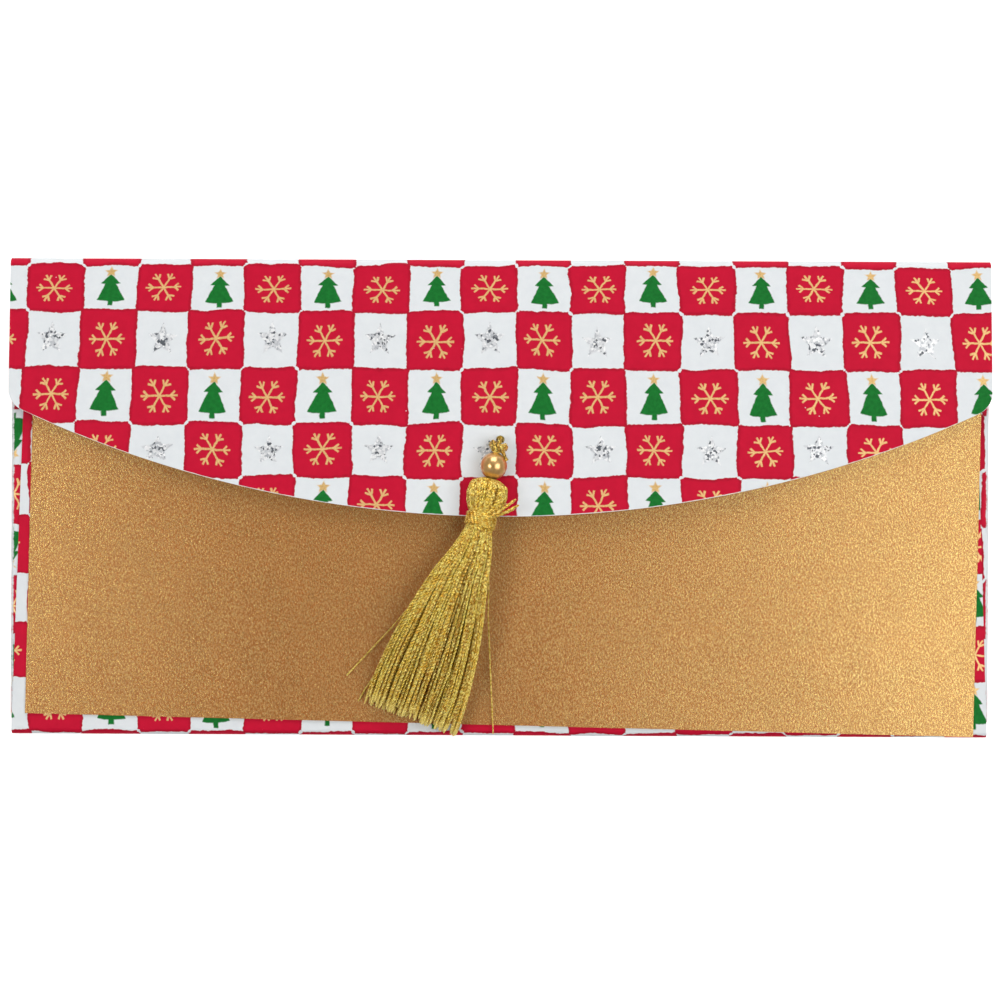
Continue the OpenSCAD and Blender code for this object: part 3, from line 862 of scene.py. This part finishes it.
# %% [markdown]
# ## The head
# The head is where the hank folds over the cord: yarns swell out from the top and draw in again at the
# neck. One layer could do, but gaps in it would show the inside, so a second layer lies under it, painted
# darker as the shade inside the head.

# %% Head
HEAD_AT, HEAD_L, HEAD_STEPS, DEEP_SIDES = 7.875, 6.4, 44, 5
count = 62
angle = (2 * np.pi * np.arange(count) / count)[:, None] + rng.normal(0, 0.04, (count, 1))
t = np.linspace(0, 1, HEAD_STEPS)[None]
s = HEAD_AT + 0.1 + (SKIRT_AT + 0.4 - HEAD_AT) * t
q = np.clip((s - HEAD_AT) / HEAD_L, 0, 1)
swell = np.sin(np.pi * q**0.85) ** 0.75
close = 0.35 + 0.65 * np.clip(q / 0.16, 0, 1) ** 0.5
drift = rng.normal(0, 1, (count, 2, 1))
lean = angle + 0.12 * drift[:, 0] * np.sin(np.pi * q)
half_w = (NECK_W + 1.25 * swell) * close - 0.3
half_t = (NECK_T + 0.6 * swell) * close - 0.3
outer = tassel_points(half_w * np.cos(lean), s, half_t * np.sin(lean))
deep = tassel_points(0.86 * half_w * np.cos(lean + 0.05), s, 0.86 * half_t * np.sin(lean + 0.05))
made = [tubes(outer, 0.25, PLY_SIDES, UP + 0.3 * RIGHT, 0.12, 1.6)]
made.append(tubes(deep, 0.27, DEEP_SIDES, UP + 0.3 * RIGHT, 0.0, 1.6))
tint_and_shade = np.repeat(rng.random(count), HEAD_STEPS * PLY_SIDES)
# The inner layer's tint is 0, so its yarns are painted dark as the shade inside the head.
tint_and_shade = np.append(tint_and_shade, np.zeros(count * HEAD_STEPS * DEEP_SIDES))
strand_piece("head_yarns", made, YARN, ["tassel_head"], "tassel", tint_and_shade, 0.0)

# %% [markdown]
# ## The neck wrap
# One thread winds six times round the neck and holds the hank together, and its loose ends stick out to
# the right. Separate rings could stand for the turns, but a helix is what a wound thread is.

# %% Neck wrap with its loose ends
turns = np.linspace(0, 6.0, 289)
a = np.pi / 2 + 2 * np.pi * turns
wrap = tassel_points((NECK_W + 0.12) * np.cos(a), 14.65 + 0.38 * turns, (NECK_T + 0.12) * np.sin(a))
made = [tubes(wrap[None], 0.22, PLY_SIDES, ALONG, 0.15, 0.9)]
t = np.linspace(0, 1, 40)
fray = 0.27 * np.clip((1.06 - t) * 8, 0.3, 1)
for reach, climb, high in ((5.6, 4.0, 0.3), (4.8, 4.9, 0.7), (5.0, 3.2, 0.1)):
    height = NECK_T + 0.2 + high * np.sin(np.pi * t) - 1.6 * t
    tail = tassel_points(0.6 + reach * t, 15.4 - climb * t**1.4, height)
    made.append(tubes(tail[None], fray[None], PLY_SIDES, UP, 0.12, 1.1))
strand_piece("neck_wrap_thread", made, YARN, ["neck_wrap"], "tassel", 0.25, 0.0)

# %% [markdown]
# ## The front knot
# Above the bead the cord's end is wound into a small knot of darker cord. A true knot could be traced,
# but at 3 mm its crossings don't show: a loose helix, one loop over it and one end give the same bumps of
# light.

# %% Front knot
CORD_SIDES = 8
turns = np.linspace(0, 4.2, 221)
a = np.pi / 2 + 2 * np.pi * turns
radius = 1.0 + 0.35 * np.sin(np.pi * turns / 4.2)
along = 1.4 + 0.26 * turns - 0.45 * np.cos(a) ** 2 + 0.15 * np.sin(a)
knot = tassel_points(radius * np.cos(a), along, radius * np.sin(a))
t = np.linspace(0, 1, 40)
loop = tassel_points(-1.2 + 2.3 * t, 1.0 + 1.6 * t, 1.2 + 0.45 * np.sin(np.pi * t))
end = tassel_points(0.9 + 1.3 * t, 2.3 + 1.6 * t, 0.9 - 0.2 * t)
made = [tubes(knot[None], 0.46, CORD_SIDES, ALONG, 0.2, 1.5)]
made.append(tubes(loop[None], 0.38, CORD_SIDES, UP, 0.2, 1.5))
made.append(tubes(end[None], 0.3, CORD_SIDES, UP, 0.2, 1.5))
strand_piece("knot_cord", made, CORD, ["front_knot"], "tassel", 0.5, 0.0)

# %% [markdown]
# ## The cords
# One cord holds it all: it comes up through the flap's hole to its bend, then runs through knot and bead.
# It could be a single piece, but it bends where the tassel swings, so each side of the bend has its own
# body.

# %% Cords
CORD_R = 0.38
t = np.linspace(0, 1, 60)
through = tassel_points(0 * t, 0.1 + 7.9 * t, 0 * t)
made = [tubes(through[None], CORD_R, CORD_SIDES, UP, 0.1, 1.3)]
strand_piece("bead_cord", made, CORD, ["tassel_cord"], "tassel", 0.5, 0.0)

rising = HOLE + FLAP_UP * np.linspace(-1.25, BEND_H + 0.2, 40)[:, None]
made = [tubes(rising[None], CORD_R, CORD_SIDES, RIGHT, 0.1, 1.3)]
strand_piece("hole_cord", made, CORD, ["hanging_cord"], "hanger", 0.5, 0.0)

# %% [markdown]
# ## The bead
# The bead is a 5 mm sphere with a bore for the cord, and it can turn on it. A sphere could have its bore
# cut out, but one closed profile carried round the cord makes both at once: it runs over the outside from
# end to end, and back through the bore.

# %% Bead
BEAD_AT, BEAD_R, BORE_R = 5.275, 2.5, 0.65
ROUND_ROWS, BEAD_SIDES = 41, 64
half = np.sqrt(BEAD_R**2 - BORE_R**2)
a = np.linspace(np.arcsin(BORE_R / BEAD_R), np.pi - np.arcsin(BORE_R / BEAD_R), ROUND_ROWS)
radius = np.concatenate([BEAD_R * np.sin(a), np.full(5, BORE_R)])[:, None]
along = np.concatenate([-BEAD_R * np.cos(a), np.linspace(half, -half, 7)[1:-1]])[:, None]
b = 2 * np.pi * np.arange(BEAD_SIDES)[None] / BEAD_SIDES
points = tassel_points(radius * np.cos(b), BEAD_AT + along, radius * np.sin(b))
index = np.arange(points.shape[0] * BEAD_SIDES).reshape(-1, BEAD_SIDES)
after = np.roll(index, -1, axis=0)
quads = np.stack([index, np.roll(index, -1, axis=1), np.roll(after, -1, axis=1), after], axis=2)
quads = quads.reshape(-1, 4)
outside = np.repeat(np.arange(points.shape[0]) < ROUND_ROWS - 1, BEAD_SIDES)
make_piece("pearl_bead", points.reshape(-1, 3), [quads], outside, PEARL, ["bead"], "bead")

# %% [markdown]
# ## Pieces kept from the CAD
# The layers of paste and the knot behind the flap could be made anew, but they lie hidden and have their
# shape already, so they only take a finish.

# %% CAD pieces
for name, material in (
    ("left_tab_paste", PASTE),
    ("right_tab_paste", PASTE),
    ("gold_panel_paste", PASTE),
    ("back_knot", CORD),
):
    node = bpy.data.objects[name]
    node.data.materials.clear()
    node.data.materials.append(material)
    print(name, "takes", material.name)

# %% [markdown]
# ## The white floor
# The photograph has a pure white ground. More light could make it white, but that would also wash out the
# print, so the floor glows a little for rays from the camera, and in reflections, and still takes the
# shadow.

# %% White floor
FLOOR_HALF, FLOOR_Z = 3, -0.0004
spots = [(x * FLOOR_HALF, y * FLOOR_HALF, FLOOR_Z) for x, y in ((-1, -1), (1, -1), (1, 1), (-1, 1))]
floor_mesh = bpy.data.meshes.new("floor")
floor_mesh.from_pydata(spots, [], [(0, 1, 2, 3)])
floor = bpy.data.objects.new("floor", floor_mesh)
bpy.context.scene.collection.objects.link(floor)
paint = Paint("white floor")
paint.put("Base Color", (0.9, 0.9, 0.9, 1.0))
paint.put("Roughness", 0.9)
paint.put("Emission Color", (1.0, 1.0, 1.0, 1.0))
rays = paint.tree.nodes.new("ShaderNodeLightPath")
camera_ray, glossy_ray, clear_ray = (
    Field(paint.tree, rays.outputs["Is " + kind + " Ray"]) for kind in ("Camera", "Glossy", "Transmission")
)
paint.put("Emission Strength", camera_ray.op("MAXIMUM", glossy_ray).op("MAXIMUM", clear_ray) * 0.55)
floor.data.materials.append(paint.material)
print("floor of", 2 * FLOOR_HALF, "m with", len(paint.tree.nodes), "nodes")


# %% [markdown]
# ## Room and lamps
# Soft lamps to the right and left brighten the gold at its sides, and a lamp beyond the fold lets the
# flap throw its soft shadow down on the gold. The room could be one even white, but it is darker straight
# overhead, where the camera is, so the middle of the gold reflects less light than its ends.

# %% Room and lamps
world = bpy.data.worlds.new("white room")
bpy.context.scene.world = world
world.use_nodes = True
room = world.node_tree
background = room.nodes["Background"]
background.inputs["Color"].default_value = (1.0, 1.0, 1.0, 1.0)
axes = room.nodes.new("ShaderNodeSeparateXYZ")
feed(room, axes.inputs[0], room.nodes.new("ShaderNodeTexCoord").outputs["Generated"])
sideways = Field(room, axes.outputs[2]).below(0.84, 0.08)
feed(room, background.inputs["Strength"], sideways * 0.18 + 0.03)


def lamp(name, place, aim, size, power):
    """Square soft lamp that shines from a place towards an aim, both in metres."""
    data = bpy.data.lights.new(name, "AREA")
    data.size = size
    data.energy = power
    item = bpy.data.objects.new(name, data)
    bpy.context.scene.collection.objects.link(item)
    item.location = place
    way = np.array(place) - np.array(aim)
    item.rotation_euler = (np.arctan2(np.hypot(way[0], way[1]), way[2]), 0, np.arctan2(way[0], -way[1]))
    print(name, "of", power, "W")


lamp("right lamp", (0.46, -0.05, 0.74), (0.05, 0.0, 0.0), 0.6, 3.75)
lamp("left lamp", (-0.52, -0.05, 0.74), (-0.05, 0.0, 0.0), 0.3, 2.3)
lamp("far lamp", (0.0, 0.8, 0.5), (0.0, 0.0, 0.0), 0.6, 4.9)

# %% [markdown]
# ## Camera
# The photograph is taken from straight above, with the envelope turned by a quarter of a degree. A flat,
# parallel view could do, but a lens at this distance shows the raised flap a little larger than the back.

# %% Camera
camera = bpy.data.objects.new("camera", bpy.data.cameras.new("camera"))
bpy.context.scene.collection.objects.link(camera)
camera.data.lens = 76.6
camera.data.clip_start = 0.01
camera.location = (0.0, -0.0004, 0.402)
camera.rotation_euler = (0.0, 0.0, np.radians(0.25))
bpy.context.scene.camera = camera
bpy.context.scene.view_settings.view_transform = "Standard"
print("camera", camera.location.z, "m up, lens", round(camera.data.lens, 1), "mm")
